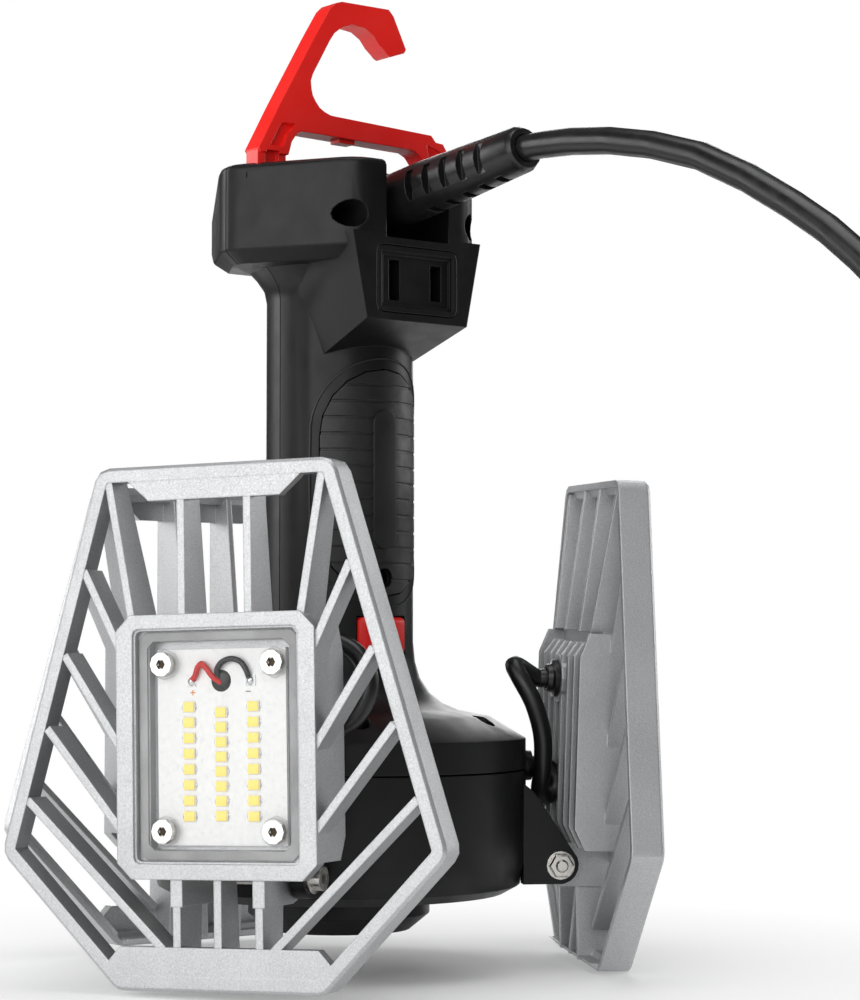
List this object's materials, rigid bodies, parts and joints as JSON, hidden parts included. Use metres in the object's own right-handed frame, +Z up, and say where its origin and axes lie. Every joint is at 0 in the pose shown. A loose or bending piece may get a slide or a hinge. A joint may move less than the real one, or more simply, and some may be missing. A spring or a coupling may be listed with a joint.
{
  "type": "work light",
  "caption": "Corded work light with a round hub, upright handle, folding hook, push button, side outlet and hinged caged LED heads that tilt outwards.",
  "frame": {"origin": "centre of the underside of the round foot", "axes": "+Z up along the handle, -Y towards the outlet and power button, +X to the right seen from the front"},
  "size_m": [0.2486, 0.3619, 0.2384],
  "materials": {
    "black_plastic": "satin",
    "grip_rubber": "satin",
    "red_plastic": "satin",
    "nickel_steel": "polished",
    "dark_steel": "satin",
    "black_rubber": "satin",
    "brass": "satin",
    "green_board": "satin",
    "cast_aluminium": "satin",
    "white_board": "satin",
    "clear_plastic": "polished",
    "grey_silicone": "satin"
  },
  "bodies": {
    "housing": {"front_shell": "black_plastic", "rear_shell": "black_plastic", "base_tub": "black_plastic", "base_foot": "black_plastic", "grip_pad": "grip_rubber", "outlet_face": "black_plastic", "outlet_contact_1": "brass", "outlet_contact_2": "brass", "driver_board": "green_board", "switch_body": "black_plastic", "cord_strain_relief": "black_rubber", "shell_screw_1": "dark_steel", "shell_screw_2": "dark_steel", "shell_screw_3": "dark_steel", "hook_pin": "nickel_steel", "power_cord": "black_rubber", "cord_coil": "black_rubber", "cord_plug": "black_rubber", "tilt_bolt_a": "nickel_steel", "tilt_nut_a": "nickel_steel", "lead_gland_a": "black_rubber", "lamp_lead_a": "black_rubber", "tilt_bolt_b": "nickel_steel", "tilt_nut_b": "nickel_steel", "lead_gland_b": "black_rubber", "lamp_lead_b": "black_rubber", "tilt_bolt_c": "nickel_steel", "tilt_nut_c": "nickel_steel", "lead_gland_c": "black_rubber", "lamp_lead_c": "black_rubber"},
    "head_a": {"head_casting_a": "cast_aluminium", "led_board_a": "white_board", "lens_a": "clear_plastic", "lens_gasket_a": "grey_silicone", "lead_boot_a": "black_rubber", "lens_screw_a_1": "nickel_steel", "lens_screw_a_2": "nickel_steel", "lens_screw_a_3": "nickel_steel", "lens_screw_a_4": "nickel_steel"},
    "head_b": {"head_casting_b": "cast_aluminium", "led_board_b": "white_board", "lens_b": "clear_plastic", "lens_gasket_b": "grey_silicone", "lead_boot_b": "black_rubber", "lens_screw_b_1": "nickel_steel", "lens_screw_b_2": "nickel_steel", "lens_screw_b_3": "nickel_steel", "lens_screw_b_4": "nickel_steel"},
    "head_c": {"head_casting_c": "cast_aluminium", "led_board_c": "white_board", "lens_c": "clear_plastic", "lens_gasket_c": "grey_silicone", "lead_boot_c": "black_rubber", "lens_screw_c_1": "nickel_steel", "lens_screw_c_2": "nickel_steel", "lens_screw_c_3": "nickel_steel", "lens_screw_c_4": "nickel_steel"},
    "hook": {"hook": "red_plastic"},
    "button": {"power_button": "red_plastic"}
  },
  "joints": [
    {"name": "head_tilt_a", "type": "hinge", "parent": "housing", "child": "head_a", "pos_m": [-0.04538, -0.0262, 0.0165], "axis": [0.4773, -0.8784, 0.023], "range_deg": [-8, 72], "deforming": ["lamp_lead_a"]},
    {"name": "head_tilt_b", "type": "hinge", "parent": "housing", "child": "head_b", "pos_m": [0.04538, -0.0262, 0.0165], "axis": [0.4942, 0.8688, 0.0304], "range_deg": [-8, 72], "deforming": ["lamp_lead_b"]},
    {"name": "head_tilt_c", "type": "hinge", "parent": "housing", "child": "head_c", "pos_m": [0, 0.0524, 0.0165], "axis": [-1, 0, 0], "range_deg": [-8, 72], "deforming": ["lamp_lead_c"]},
    {"name": "hook_fold", "type": "hinge", "parent": "housing", "child": "hook", "pos_m": [0, -0.0048, 0.1829], "axis": [-1, 0, 0], "range_deg": [0, 58]},
    {"name": "button_press", "type": "slide", "parent": "housing", "child": "button", "axis": [0, 1, 0], "range_m": [0, 0.0012], "stiffness_N_per_m": 1500, "springref_m": -0.0006}
  ]
}
